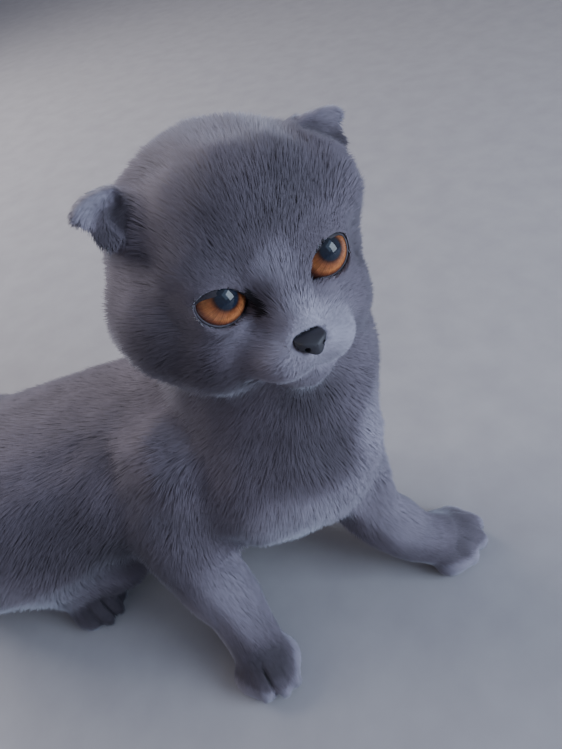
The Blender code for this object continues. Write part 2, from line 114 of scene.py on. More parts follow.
def vertex_normals(points, triangles):
    """The way each point faces, weighed by the triangles round it."""
    corners = points[triangles]
    facing = np.cross(corners[:, 1] - corners[:, 0], corners[:, 2] - corners[:, 0])
    normals = np.zeros_like(points)
    for corner in range(3):
        for axis in range(3):
            normals[:, axis] += np.bincount(triangles[:, corner], facing[:, axis], len(points))
    return normals / np.maximum(np.linalg.norm(normals, axis=1, keepdims=True), 1e-20)


def new_mesh(name, points, faces):
    """A mesh of triangles."""
    mesh = bpy.data.meshes.new(name)
    mesh.vertices.add(len(points))
    mesh.vertices.foreach_set("co", np.asarray(points, np.float32).ravel())
    mesh.loops.add(len(faces) * 3)
    mesh.loops.foreach_set("vertex_index", np.asarray(faces, np.int32).ravel())
    mesh.polygons.add(len(faces))
    mesh.polygons.foreach_set("loop_start", np.arange(len(faces), dtype=np.int32) * 3)
    mesh.update(calc_edges=True)
    return mesh


def placed(name, mesh, material=None):
    """A new object of the scene, with this mesh."""
    piece = bpy.data.objects.new(name, mesh)
    bpy.context.scene.collection.objects.link(piece)
    if material:
        mesh.materials.append(material)
    return piece


def with_modifiers(piece):
    """The mesh that a piece's modifiers make. The piece itself is taken away."""
    graph = bpy.context.evaluated_depsgraph_get()
    mesh = bpy.data.meshes.new_from_object(piece.evaluated_get(graph), depsgraph=graph)
    bpy.data.objects.remove(piece)
    return mesh


def eased(points, triangles, times, strength):
    """Draws each point towards the middle of its neighbours."""
    edges = np.concatenate([triangles[:, :2], triangles[:, 1:], triangles[:, ::2]])
    pairs = np.unique(np.sort(edges, axis=1), axis=0)
    one, other = pairs[:, 0], pairs[:, 1]
    size = len(points)
    count = np.bincount(pairs.ravel(), minlength=size)[:, None]
    for _ in range(times):
        around = np.stack(
            [
                np.bincount(one, points[other, k], size) + np.bincount(other, points[one, k], size)
                for k in range(3)
            ],
            axis=1,
        )
        points = points + strength[:, None] * (around / count - points)
    return points


# Each solid is swollen a little, so that those that only touch grow together when voxels gather them.
SWELL = 0.00035
solid_points = []
solid_triangles = []
start = 0
for name in FLESH:
    points, triangles = read_mesh(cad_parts[name].data)
    _, first, same = np.unique(np.round(points, 6), axis=0, return_index=True, return_inverse=True)
    points, triangles = points[first], same.ravel()[triangles]
    points = points + SWELL * vertex_normals(points, triangles)
    solid_points.append(points)
    solid_triangles.append(triangles + start)
    start += len(points)

# A toe is its place in millimetres to the paw's left and back from the toe line, and half its width.
SPLAYED_RIGHT = ((-13.4, 6.6, 4.4), (-9.0, 1.4, 5.4), (-0.8, -1.6, 5.0), (6.2, -0.8, 5.0), (11.2, 5.6, 4.4))
SPLAYED_LEFT = ((-14.8, 7.6, 4.8), (-10.2, 2.2, 5.6), (-0.6, -2.4, 6.2), (9.0, -1.4, 5.6), (13.0, 6.0, 4.8))
CLOSED = ((-10.8, 4.0, 4.4), (-3.8, -1.2, 4.8), (3.8, -1.2, 4.8), (10.8, 4.0, 4.4))
# A paw is the middle of its toe line, its heading in degrees, its toes, and how plain its main cleft is.
PAWS = (
    (on_body(-66.5, -49, 0), -6, SPLAYED_RIGHT, 1.0),
    (on_body(48, -64.5, 0), 42, SPLAYED_LEFT, 0.5),
    (on_body(-110.5, 38.5, 0), 12, CLOSED, 0.6),
    (on_body(-64, 118, 0), 86, CLOSED, 0.6),
)
FOREPAWS = PAWS[:2]
# Half a toe's length in millimetres, and the degrees it turns out for each one from the paw's middle.
TOE_HALF_LENGTH = 8.6
TOE_FAN = 1.1


def globed(centre, radii, spin, steps=24):
    """The points and triangles of a rounded form, turned about the upright axis."""
    rise = np.linspace(0, math.pi, steps // 2 + 1)[:, None]
    turn = np.linspace(0, 2 * math.pi, steps, endpoint=False)
    ball = [np.sin(rise) * np.cos(turn), np.sin(rise) * np.sin(turn), np.cos(rise) + 0 * turn]
    points = np.stack(ball, axis=2).reshape(-1, 3) * np.array(radii)
    points = points @ np.array(turned(0, 0, spin))[:3, :3].T + np.array(centre)
    ring, step = np.meshgrid(np.arange(steps // 2), np.arange(steps), indexing="ij")
    a = ring * steps + step
    b = ring * steps + (step + 1) % steps
    faces = np.stack([a, a + steps, b + steps, a, b + steps, b], axis=2).reshape(-1, 3)
    return points, faces


# Each toe is also gathered into the skin as a rounded form of its own, which keeps the toes apart.
for toe_line, heading, toes, _ in PAWS:
    for x, y, wide in toes:
        radii = np.array((wide + 0.2, TOE_HALF_LENGTH, 0.6 * wide + 4.8)) / 1000
        centre = toe_line + turned(0, 0, heading) @ Vector((x / 1000, y / 1000 + 0.004, radii[2] - 0.0004))
        points, triangles = globed(centre, radii, heading - x * TOE_FAN)
        solid_points.append(points)
        solid_triangles.append(triangles + start)
        start += len(points)
SKIN_VOXEL = 0.0009
rough_mesh = new_mesh("rough_skin", np.concatenate(solid_points), np.concatenate(solid_triangles))
rough = placed("rough_skin", rough_mesh)
gathering = rough.modifiers.new("gather", "REMESH")
gathering.mode = "VOXEL"
gathering.voxel_size = SKIN_VOXEL
skin_mesh = with_modifiers(rough)
skin_points, skin_triangles = read_mesh(skin_mesh)

EYE_PLACES = tuple(
    head_frame @ Vector((flip * EYE_IN_HEAD.x, EYE_IN_HEAD.y, EYE_IN_HEAD.z)) for flip in (1, -1)
)


def crispness(points):
    """Near 1 where the skin keeps its edges: the lids, the muzzle, the ears and the toes."""
    keep = within(points, on_head(0, -54, -18), 8, 22)
    for flip, eye in zip((1, -1), EYE_PLACES):
        keep = np.maximum(keep, within(points, eye, 12.5, 18))
        keep = np.maximum(keep, within(points, on_head(flip * 44, -13, 36), 11, 17))
    for toe_line, _, _, _ in PAWS:
        keep = np.maximum(keep, within(points, toe_line, 14, 26))
    return keep


skin_points = eased(skin_points, skin_triangles, 40, 0.5 - 0.44 * crispness(skin_points))

# The plush of the body in millimetres. It gets shallower round the places listed, each with how far it
# stays at the depth given and how far that reaches.
BODY_PLUSH = 3.8
SHALLOWER = [
    (on_head(0, 0, 0), 57, 80, 2.8),
    (on_head(0, -44, -4), 26, 50, 1.6),
    (on_head(0, -54, -20), 12, 26, 0.95),
    (on_head(0, -57, -12), 6, 11, 0.35),
    (on_body(-62, 5, 40), 24, 42, 2.6),
    (on_body(-63, -18, 24), 18, 34, 1.7),
    (on_body(14, -30, 36), 22, 40, 2.5),
    (on_body(26, -48, 22), 18, 34, 1.7),
    (on_body(-225, 150, 12), 40, 60, 3.0),
    (on_body(-280, 200, 9), 34, 60, 2.3),
]
SHALLOWER += [(place, 12.2, 17, 0.5) for place in EYE_PLACES]
SHALLOWER += [(on_head(flip * 44, -12, 37), 12, 19, 0.9) for flip in (1, -1)]
SHALLOWER += [(toe_line, 18, 36, 0.85) for toe_line, _, _, _ in PAWS]


def coat_depth(points):
    """How deep the coat is at each point of the solids' surface, in metres."""
    depth = np.full(len(points), BODY_PLUSH)
    for centre, full, none, value in SHALLOWER:
        amount = within(points, centre, full, none)
        depth = depth * (1 - amount) + value * amount
    return depth / 1000


MOUTH = [(0, -60, -18), (0, -56, -25)]
LIPS = [(0, -55, -25.2), (7, -53.5, -28), (14, -48, -28.6), (20, -40.5, -26.6)]


def mouth_distance(points):
    """Millimetres from the groove under the nose and from the line of the lips."""
    local = head_places(points)
    local[:, 0] = np.abs(local[:, 0])
    return np.minimum(off_line(local, MOUTH), off_line(local, LIPS))


def mouth_groove(points):
    """1 at the bottom of those grooves, and falling off within a millimetre or two."""
    return np.exp(-((mouth_distance(points) / 0.8) ** 2))


def from_toes(points, toe_line, heading):
    """Points as millimetres from the middle of a paw's toe line: to its left, its back and its top."""
    return (np.array(turned(0, 0, -heading))[:3, :3] @ (points - np.array(toe_line)).T).T * 1000


def toe_clefts(points):
    """Near 1 in the clefts between the toes, seen from above."""
    amount = np.zeros(len(points))
    for toe_line, heading, toes, contrast in PAWS:
        local = from_toes(points, toe_line, heading)
        near = (local[:, 1] > -14) & (local[:, 1] < 20) & (np.abs(local[:, 0]) < 20) & (local[:, 2] < 22)
        for number, ((x, y, wide), (next_x, next_y, next_wide)) in enumerate(zip(toes, toes[1:])):
            middle = x + (next_x - x) * wide / (wide + next_wide)
            fan = math.radians(TOE_FAN * middle)
            off = (local[:, 0] - middle) * math.cos(fan) + (local[:, 1] - max(y, next_y)) * math.sin(fan)
            behind = np.clip((local[:, 1] - max(y, next_y) - 4) / 5, 0, 1)
            share = (contrast if number == 1 else 0.4) * (1 - behind)
            amount = np.where(near, np.maximum(amount, share * np.exp(-((off / 0.8) ** 2))), amount)
    return amount


def painted_toe_highlights(points):
    """Near 1 in a band round the tips of the forepaws' toes: a painted highlight where the short hair catches
    the light.
    """
    amount = np.zeros(len(points))
    for toe_line, heading, toes, _ in FOREPAWS:
        (first_x, first_y, first_wide), (last_x, last_y, last_wide) = toes[0], toes[-1]
        line = [(first_x - first_wide, first_y + 7, 8)] + [(x * 0.9, y - 5.4, 8) for x, y, _ in toes]
        line += [(last_x + last_wide - 0.5, last_y + 4, 9), (last_x + last_wide - 1, last_y + 13, 12)]
        off = off_line(from_toes(points, toe_line, heading), line)
        amount = np.maximum(amount, np.clip((6.6 - off) / 3.8, 0, 1))
    return amount


GROOVE_DEPTH = 0.0013
CLEFT_DEPTH = 0.0008
ABOVE_FLOOR = 0.0004
skin_normals = vertex_normals(skin_points, skin_triangles)
depth = coat_depth(skin_points)
depth = depth + GROOVE_DEPTH * mouth_groove(skin_points)
depth = depth + CLEFT_DEPTH * toe_clefts(skin_points)
skin_points = skin_points - (depth + SWELL)[:, None] * skin_normals
skin_points = eased(skin_points, skin_triangles, 6, 0.5 * np.clip(depth * 1000 / 2.6 - 0.5, 0, 1))
skin_points[:, 2] = np.maximum(skin_points[:, 2], ABOVE_FLOOR)
skin_mesh.vertices.foreach_set("co", skin_points.astype(np.float32).ravel())
skin_mesh.update()
skin = placed("skin", skin_mesh)
fewer = skin.modifiers.new("fewer", "DECIMATE")
fewer.ratio = 0.45
skin_mesh = with_modifiers(skin)
skin = placed("skin", skin_mesh)
bpy.context.view_layer.objects.active = skin
skin.select_set(True)
bpy.ops.object.mode_set(mode="EDIT")
bpy.ops.mesh.select_all(action="SELECT")
bpy.ops.uv.smart_project(angle_limit=math.radians(70), island_margin=0.002)
bpy.ops.object.mode_set(mode="OBJECT")
skin_mesh.uv_layers[0].name = "OFBake"
skin_mesh.shade_smooth()
skin_points, skin_triangles = read_mesh(skin_mesh)
skin_normals = vertex_normals(skin_points, skin_triangles)

# The colour of the coat: solid blue-grey, darker at the roots and silvered at the tips, paler on the muzzle
# and the breast, with a dark streak below the right eye's inner corner, bare skin deepened with painted
# shade. It also
# carries painted light and shade: painted highlights on the toe tips, the ear folds, the left whisker pad,
# between the eyes, on the left of the breast and on the right thigh, and painted shade under the chin and the
# breast, in the ear cups, the toe clefts and the mouth groove, on the right cheek, the right flank and the
# right hind paw. Skin and tufts share it through one node group, which reads how far along a tuft a point
# lies.

# A mark is its place, the millimetres it holds and those it reaches, and how pale it is, or dark below 0.
# Some are the coat's own marks, and some are painted light and shade.
MARKS_AND_PAINTED_LIGHT = [
    (on_head(0, -54, -20), 9, 24, 0.85),
    # Painted light: the left whisker pad, lit from the front left.
    (on_head(9, -54, -17), 5, 15, 0.95),
    (on_head(0, -55, -3), 3, 12, 0.50),
    # Painted light lifting the shade in the hollow between the eyes.
    (on_head(-6.5, -46, 9), 2, 6, 0.40),
    (on_head(0, -36, 27), 8, 32, -0.30),
    # Painted light in the hollow between the eyes.
    (on_head(0, -44, 9), 3, 11, 0.60),
    (on_head(-24, -34, 26), 6, 22, -0.15),
    (on_head(20, -30, 30), 6, 20, -0.20),
    # Painted shade on the right cheek, turned away from the window.
    (on_head(-36, -30, -10), 8, 26, -0.35),
    (on_head(30, -38, -8), 6, 18, -0.25),
    # Painted shade under the chin, here and on the next line.
    (on_head(0, -32, -42), 6, 17, -0.60),
    (on_head(4, -50, -33), 4, 12, -0.60),
    # Painted light on the left whisker pad.
    (on_head(11, -57, -17), 5, 12, 0.90),
    # Dark skin at the left eye's inner corner, deepened with painted shade.
    (on_head(12.6, -43.6, -1.5), 0.8, 2.4, -1.2),
    # Painted shade on the throat under the chin.
    (on_body(-4, -30, 106), 6, 26, -0.35),
    (on_body(-26, -26, 72), 9, 24, 1.00),
    (on_body(0, -34, 70), 8, 26, 0.70),
    # Painted shade on the underside of the breast, turned away from the light.
    (on_body(-8, -32, 50), 5, 14, -0.60),
    # Painted light on the left side of the breast, which faces the window, here and on the next line.
    (on_body(26, -26, 94), 7, 24, 0.80),
    (on_body(36, -12, 66), 8, 32, 0.75),
    (on_body(-64, -6, 32), 10, 34, 0.50),
    (on_body(-66, -2, 58), 6, 24, 0.10),
    (on_body(18, -42, 40), 8, 28, 0.40),
    # Painted shadow on the right flank and behind the right foreleg, here and on the next line.
    (on_body(-104, 34, 68), 10, 38, -0.45),
    (on_body(-70, 18, 50), 12, 34, -0.42),
    # Painted light on the right thigh.
    (on_body(-128, 40, 56), 6, 26, 0.35),
    # Painted shade on the right hind paw, under the thigh.
    (on_body(-108, 38, 14), 10, 22, -0.65),
    (on_body(31, -66, 16), 3, 11, -0.30),
]
for flip in (1, -1):
    MARKS_AND_PAINTED_LIGHT += [
        (on_head(flip * 22, -43, -9), 4, 13, 0.25),
        # Painted shade in the cup under each ear fold, on this and the next two lines.
        (on_head(flip * 33, -14, 38), 4, 8.5, -0.28),
        (on_head(flip * 37, -13, 36), 4, 8, -0.15),
        (on_head(flip * 44, -18, 33), 3, 7.5, -0.40),
        # Painted highlights along each ear fold's ridge, brighter on the right ear, nearer the light behind,
        # on this and the next two lines.
        (on_head(flip * 48, -11, 41), 3, 7, 0.60 - 0.35 * flip),
        (on_head(flip * 42, -9, 44.5), 3, 7, 0.60 - 0.35 * flip),
        (on_head(flip * 36, -7, 45), 2.5, 6, 0.45),
    ]
for toe_line, heading, _, contrast in FOREPAWS:
    paw_top = toe_line + turned(0, 0, heading) @ Vector((0, 0.008, 0.020))
    MARKS_AND_PAINTED_LIGHT.append((paw_top, 5, 14, -0.60 * contrast))
INNER_CORNER_STREAK = [(-11.5, -43.0, 2.4), (-10.6, -44.1, 0.4), (-9.6, -45.8, -2.2)]


def inner_corner_distance(points):
    """Millimetres from the dark streak that runs down from the inner corner of the right eye."""
    return off_line(head_places(points), INNER_CORNER_STREAK)


def marks_and_painted_light(points):
    """From -1, dark, to 1.3, pale: the coat's own marks from place to place, with painted light and shade."""
    # The lips' dark skin, with painted shade in the groove under the nose and along the lip line.
    amount = -1.1 * mouth_groove(points)
    # Painted highlights round the toe tips, and painted shade in the clefts between the toes.
    amount += 1.1 * painted_toe_highlights(points) - 0.9 * toe_clefts(points) ** 2
    for centre, full, none, value in MARKS_AND_PAINTED_LIGHT:
        amount += value * within(points, centre, full, none)
    # The bare skin below the right eye's inner corner: dark skin, deepened with painted shade.
    amount -= 2.0 * np.clip((3.0 - inner_corner_distance(points)) / 1.2, 0, 1)
    return np.clip(amount, -1, 1.3)


def noted(mesh, name, values):
    """Keeps one number for each point of a mesh, for its material to read."""
    mesh.attributes.new(name, "FLOAT", "POINT").data.foreach_set("value", np.asarray(values, np.float32))


def node(tree, kind, inputs=None, **settings):
    """A shader node with its settings, its inputs given as values or as sockets to link."""
    made = tree.nodes.new(kind)
    for key, value in settings.items():
        setattr(made, key, value)
    for key, value in (inputs or {}).items():
        if isinstance(value, bpy.types.NodeSocket):
            tree.links.new(value, made.inputs[key])
        else:
            made.inputs[key].default_value = value
    return made


def ramp(tree, factor, stops):
    """A colour that runs through the stops, each a place from 0 to 1 and its colour."""
    made = node(tree, "ShaderNodeValToRGB", {"Fac": factor})
    stair = made.color_ramp.elements
    while len(stair) < len(stops):
        stair.new(0.5)
    for step, (place, colour) in zip(stair, stops):
        step.position = place
        step.color = (*colour, 1)
    return made.outputs["Color"]


def noise(tree, place, scale, detail, roughness=0.5):
    """Cloudy noise from 0 to 1, its scale the waves in each unit of the place."""
    inputs = {"Vector": place, "Scale": scale, "Detail": detail, "Roughness": roughness}
    return node(tree, "ShaderNodeTexNoise", inputs).outputs["Fac"]


def spread(tree, value, least, most, to_least, to_most):
    """A number brought from one range to another."""
    limits = {"From Min": least, "From Max": most, "To Min": to_least, "To Max": to_most}
    return node(tree, "ShaderNodeMapRange", {"Value": value, **limits}).outputs[0]


def product(tree, one, other, **settings):
    """Two numbers multiplied."""
    return node(tree, "ShaderNodeMath", {0: one, 1: other}, operation="MULTIPLY", **settings).outputs[0]


def blended(tree, amount, one, other):
    """From one colour to the other as the amount goes from 0 to 1."""
    return node(tree, "ShaderNodeMix", {0: amount, 6: one, 7: other}, data_type="RGBA").outputs[2]


HAIR = ((0.0, (0.140, 0.122, 0.154)), (0.45, (0.149, 0.129, 0.164)), (1.0, (0.208, 0.182, 0.234)))
SILVER = (0.40, 0.385, 0.47, 1)
plush = bpy.data.node_groups.new("blue_plush", "ShaderNodeTree")
for name in ("Marks and Painted Light", "Along", "Tone"):
    plush.interface.new_socket(name, in_out="INPUT", socket_type="NodeSocketFloat")
plush.interface.new_socket("Color", in_out="OUTPUT", socket_type="NodeSocketColor")
given = plush.nodes.new("NodeGroupInput").outputs
spot = node(plush, "ShaderNodeTexCoord").outputs["Object"]
clouds = noise(plush, spot, 55.0, 3.0, 0.6)
along = product(plush, given["Tone"], 0.16)
along = node(plush, "ShaderNodeMath", {0: along, 1: given["Along"]}, operation="ADD").outputs[0]
hair = ramp(plush, along, HAIR)
cloudy = spread(plush, clouds, 0.3, 0.7, 0.84, 1.14)
lift = spread(plush, given["Marks and Painted Light"], -1.0, 1.3, 0.12, 2.14)
lift = product(plush, lift, cloudy)
hair = node(plush, "ShaderNodeVectorMath", {0: hair, "Scale": lift}, operation="SCALE").outputs[0]
silvered = product(plush, given["Marks and Painted Light"], 0.50, use_clamp=True)
hair = blended(plush, silvered, hair, SILVER)
plush.links.new(hair, plush.nodes.new("NodeGroupOutput").inputs["Color"])


def new_finish(name):
    """A new material, its nodes and its shader."""
    material = bpy.data.materials.new(name)
    material.use_nodes = True
    return material, material.node_tree, material.node_tree.nodes["Principled BSDF"]


def read_note(tree, name):
    """The number that a mesh keeps for each of its points."""
    return node(tree, "ShaderNodeAttribute", attribute_name=name).outputs["Fac"]


def bumped(tree, height, strength, distance):
    """Normals raised by the height, with its whole range in metres."""
    inputs = {"Height": height, "Strength": strength, "Distance": distance}
    return node(tree, "ShaderNodeBump", inputs).outputs["Normal"]


def coat_material(name, along):
    """The coat's finish. Along is a number, or None to read it from the mesh."""
    material, tree, shader = new_finish(name)
    shader.inputs["Sheen Weight"].default_value = 0.50
    shader.inputs["Sheen Roughness"].default_value = 0.40
    shader.inputs["Sheen Tint"].default_value = (0.75, 0.77, 0.90, 1)
    shader.inputs["Specular IOR Level"].default_value = 0.25
    shader.inputs["Roughness"].default_value = 0.78
    colour = tree.nodes.new("ShaderNodeGroup")
    colour.node_tree = plush
    for socket, attribute in (("Marks and Painted Light", "marks_and_painted_light"), ("Along", "along"), ("Tone", "tone")):
        if socket == "Along" and along is not None:
            colour.inputs[socket].default_value = along
            continue
        tree.links.new(read_note(tree, attribute), colour.inputs[socket])
    tree.links.new(colour.outputs["Color"], shader.inputs["Base Color"])
    if along is not None:
        place = node(tree, "ShaderNodeTexCoord").outputs["Object"]
        fine = noise(tree, place, 900.0, 2.0)
        tree.links.new(bumped(tree, fine, 0.5, 0.0006), shader.inputs["Normal"])
    return material


skin_mesh.materials.append(coat_material("plush_skin", 0.35))
noted(skin_mesh, "marks_and_painted_light", marks_and_painted_light(skin_points))
noted(skin_mesh, "tone", np.full(len(skin_points), 0.3))
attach(skin, "root")
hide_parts(*FLESH)

# The coat: short, dense plush in thin closed tufts that follow the lie of the hair, from the nose back over
# the skull, down the breast and the legs, and along the back to the tail. Its tips reach the solids' surface.
chance = np.random.default_rng(11)


def off_head(x, y, z):
    """A direction given in the head's own axes."""
    return (head_frame.to_3x3() @ Vector((x, y, z))).normalized()


# A place, and the way the hair lies there, in the head's own axes. The second list is of its left side, and
# its right side mirrors it.
HEAD_LIE = (
    ((0, -53, -3), (0, 0.5, 0.85)), ((0, -43, 10), (0, 0.35, 0.94)), ((0, -30, 33), (0, 0.8, 0.6)),
    ((0, 5, 54), (0, 1, 0.05)), ((0, 46, 26), (0, 0.35, -0.94)), ((0, 50, -10), (0, 0.1, -1)),
    ((0, -51, -38), (0, 0.5, -0.85)), ((0, -25, -44), (0, 0.2, -0.98)),
)
HEAD_SIDE_LIE = (
    ((10, -46, 9), (0.25, 0.3, 0.9)), ((22, -40, 17), (0.4, 0.45, 0.8)), ((24, -26, 34), (0.3, 0.8, 0.5)),
    ((33, -36, 6), (0.6, 0.75, 0.25)), ((44, -12, 18), (0.2, 0.95, 0.1)), ((14, -48, -5), (0.7, 0.5, 0.1)),
    ((24, -42, -8), (0.75, 0.65, -0.1)), ((38, -28, -10), (0.5, 0.8, -0.3)),
    ((34, -24, -27), (0.4, 0.7, -0.6)), ((50, 2, -10), (0.05, 0.85, -0.5)),
    ((13, -56, -18), (0.8, 0.55, -0.25)), ((20, -46, -24), (0.7, 0.65, -0.35)),
    ((4, -58, -21), (0.5, 0.2, -0.8)), ((9, -46, -35), (0.4, 0.5, -0.75)),
    ((44, -6, 44), (0.9, -0.3, -0.1)), ((47, -17, 35), (0.3, -0.5, -0.8)), ((30, 30, 32), (0.1, 0.8, -0.6)),
    ((40, 32, 0), (0.1, 0.5, -0.85)),
)
LIE = [(on_head(*place), off_head(*way)) for place, way in HEAD_LIE]
for flip in (1, -1):
    LIE += [(on_head(flip * x, y, z), off_head(flip * a, b, c)) for (x, y, z), (a, b, c) in HEAD_SIDE_LIE]
BODY_LIE = (
    ((-4, -34, 84), (0.0, -0.05, -1.0)), ((-12, -30, 48), (-0.1, 0.2, -0.97)),
    ((30, -22, 84), (0.25, 0.1, -0.96)), ((48, 12, 96), (0.1, 0.35, -0.93)),
    ((-44, -6, 84), (-0.3, 0.1, -0.95)), ((-72, 22, 76), (-0.35, 0.3, -0.88)),
    ((-50, 30, 112), (-0.7, 0.5, -0.4)), ((-16, 60, 122), (-0.6, 0.78, -0.1)),
    ((-60, 90, 112), (-0.85, 0.53, 0.0)), ((-88, 24, 70), (-0.85, 0.3, -0.42)),
    ((-20, 100, 70), (-0.8, 0.5, -0.4)), ((-130, 46, 70), (-0.75, 0.2, -0.62)),
    ((-150, 62, 40), (-0.6, 0.1, -0.8)), ((-90, 146, 60), (-0.75, 0.35, -0.55)),
    ((-112, 94, 112), (-0.86, 0.5, -0.1)), ((-160, 116, 70), (-0.78, 0.42, -0.45)),
    ((-62, 62, 4), (-0.85, 0.52, 0.0)), ((-112, 80, 2), (-0.85, 0.5, 0.0)),
    ((-64, 26, 40), (0.05, -0.75, -0.65)), ((-63, -6, 28), (0.0, -0.85, -0.5)),
    ((-65, -34, 18), (-0.1, -0.95, -0.35)), ((-67, -50, 12), (-0.1, -0.95, -0.3)),
    ((16, -20, 46), (0.0, -0.6, -0.8)), ((20, -38, 28), (0.35, -0.75, -0.5)),
    ((36, -56, 17), (0.7, -0.65, -0.3)), ((50, -66, 12), (0.67, -0.74, -0.25)),
    ((-96, 44, 34), (0.3, -0.6, -0.7)), ((-112, 40, 12), (0.2, -0.93, -0.3)),
    ((-72, 116, 14), (0.95, 0.0, -0.3)), ((-178, 125, 30), (-0.85, 0.5, -0.25)),
    ((-210, 140, 16), (-0.9, 0.42, -0.05)), ((-241, 155, 14), (-0.85, 0.53, 0.0)),
    ((-267, 176, 12), (-0.62, 0.78, 0.0)), ((-284, 204, 11), (-0.35, 0.94, 0.0)),
    ((-290, 234, 9), (-0.15, 0.99, 0.0)),
)
LIE += [(on_body(*place), Vector(way).normalized()) for place, way in BODY_LIE]


def lie_of_coat(points):
    """The way the hair lies at each point, drawn from the places listed, the nearest most."""
    flow = np.zeros_like(points)
    for place, way in LIE:
        away = ((points - np.array(place)) ** 2).sum(axis=1) + 0.007**2
        flow += (1e-8 / away**2)[:, None] * np.array(way)
    return flow


def drift(points, size, seed):
    """A smooth number from -1 to 1 that wanders over the given size, the same each time for one seed."""
    grid = points / size + 31.7 * seed
    cell = np.floor(grid).astype(np.int64)
    part = grid - cell
    part = part * part * (3 - 2 * part)
    total = np.zeros(len(points))
    for corner in range(8):
        step = np.array([corner & 1, corner >> 1 & 1, corner >> 2 & 1])
        key = (cell + step) @ np.array([73856093, 19349663, 83492791])
        key = (key ^ (key >> 13)) * 1274126177 & 0x7FFFFFFF
        value = ((key ^ (key >> 15)) & 0xFFFF) / 32767.5 - 1
        total += value * np.prod(np.where(step, part, 1 - part), axis=1)
    return total


def unit(vectors):
    """The same directions, each with a length of 1."""
    return vectors / np.maximum(np.linalg.norm(vectors, axis=1, keepdims=True), 1e-12)


def eye_frame(flip):
    """One eye's own axes: across the opening, back and up. The outer corner lies higher and further back."""
    place = head_frame @ Matrix.Translation((flip * EYE_IN_HEAD.x, EYE_IN_HEAD.y, EYE_IN_HEAD.z))
    return place @ turned(0, 0, flip * 6) @ turned(0, -flip * 19, 0)


def eye_view(points, flip):
    """Points in one eye's axes, in millimetres: across to its outer corner, back and up."""
    back = np.array(eye_frame(flip).inverted())
    local = (points @ back[:3, :3].T + back[:3, 3]) * 1000
    local[:, 0] *= flip
    return local


NOSE_MIDDLE = (0, -57.5, -14.2)
NOSE_REACH = (5.6, 6, 3.9)
# Millimetres from the middle of an eye's opening to the hair at its outer and inner corners, above and below.
HAIRLINE_ACROSS = (8.9, 9.7)
HAIRLINE_UP = (6.1, 7.2)
HAIR_FROM_EYE = 11.5


def bare(points, normals):
    """Where no hair grows: the nose leather, the lips, the streak below the right eye's inner corner, the
    soles and round the eyes.
    """
    local = head_places(points)
    none = np.linalg.norm((local - NOSE_MIDDLE) / NOSE_REACH, axis=1) < 1
    none |= mouth_distance(points) < 0.6
    none |= toe_clefts(points) > 0.85
    none |= inner_corner_distance(points) < 1.3
    none |= (points[:, 2] < 0.0016) & (normals[:, 2] < -0.4)
    for flip in (1, -1):
        seen = eye_view(points, flip)
        across = seen[:, 0] / np.where(seen[:, 0] > 0, *HAIRLINE_ACROSS)
        upward = seen[:, 2] / np.where(seen[:, 2] > 0, *HAIRLINE_UP)
        none |= (across**2 + upward**2 < 1) & (seen[:, 1] < 0)
        none |= np.linalg.norm(seen, axis=1) < HAIR_FROM_EYE
    return none


# Depths of the coat in millimetres, and for each the rise of a tuft in degrees and its width in metres.
TUFT_DEPTHS = (0.5, 1.6, 3.8)
TUFT_RISES = (19, 19, 27)
TUFT_WIDTHS = (0.00036, 0.00052, 0.00070)
# How far the lie wanders: the size of each wave in metres, its strength and its seed.
WANDERING = ((0.022, 0.14, 1), (0.0070, 0.12, 4), (0.0022, 0.08, 7))
ROOT_SUNK = 0.0003
TIP_CLEAR_OF_FLOOR = 0.0002
# The patch that each tuft takes on the colour map, about its root's place there.
TUFT_PATCH = np.array([[-1.0, -0.6], [1.0, -0.6], [0.0, -0.1], [0.0, 1.0]]) * 0.0015


